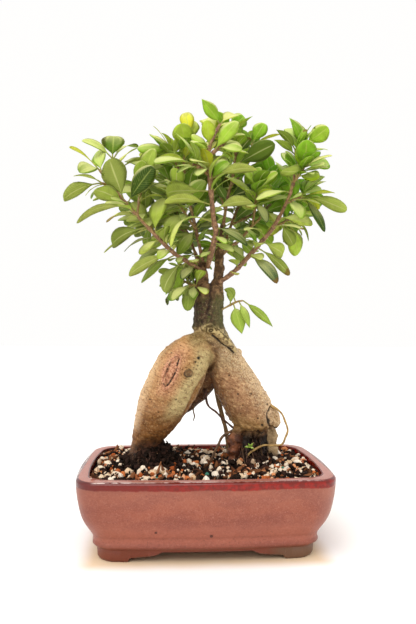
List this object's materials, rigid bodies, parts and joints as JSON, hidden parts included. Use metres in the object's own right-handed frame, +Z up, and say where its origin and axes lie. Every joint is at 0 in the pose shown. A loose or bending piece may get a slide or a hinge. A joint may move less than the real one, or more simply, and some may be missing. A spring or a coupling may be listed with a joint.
{
  "type": "bonsai tree in a pot",
  "caption": "Live fig bonsai with swollen, arching storage roots, a grafted trunk and a spreading leafy crown, growing in gravelly mix in a rectangular glazed pot on bracket feet.",
  "frame": {"origin": "centre of the bounding box, at the floor that the pot's feet stand on", "axes": "+Z up along the trunk, -Y towards the viewer of the picture, +X to the viewer's right along the pot's long side"},
  "size_m": [0.231, 0.1621, 0.3678],
  "materials": {
    "glazed_stoneware": "satin",
    "potting_mix": "matte",
    "fig_bark": "matte",
    "fig_leaves": "satin",
    "rootstock_leaves": "satin",
    "drain_plastic": "matte"
  },
  "bodies": {
    "root": {"pot": "glazed_stoneware", "drain_mesh_left": "drain_plastic", "drain_mesh_right": "drain_plastic", "soil": "potting_mix", "tree": "fig_bark", "branch_left": "fig_leaves", "branch_centre_left": "fig_leaves", "branch_front": "fig_leaves", "branch_centre_right": "fig_leaves", "branch_right": "fig_leaves", "branch_back_right": "fig_leaves", "branch_back_left": "fig_leaves", "branch_back_middle": "fig_leaves", "twigs_low": "fig_leaves", "rootstock_shoot": "rootstock_leaves"}
  },
  "joints": []
}
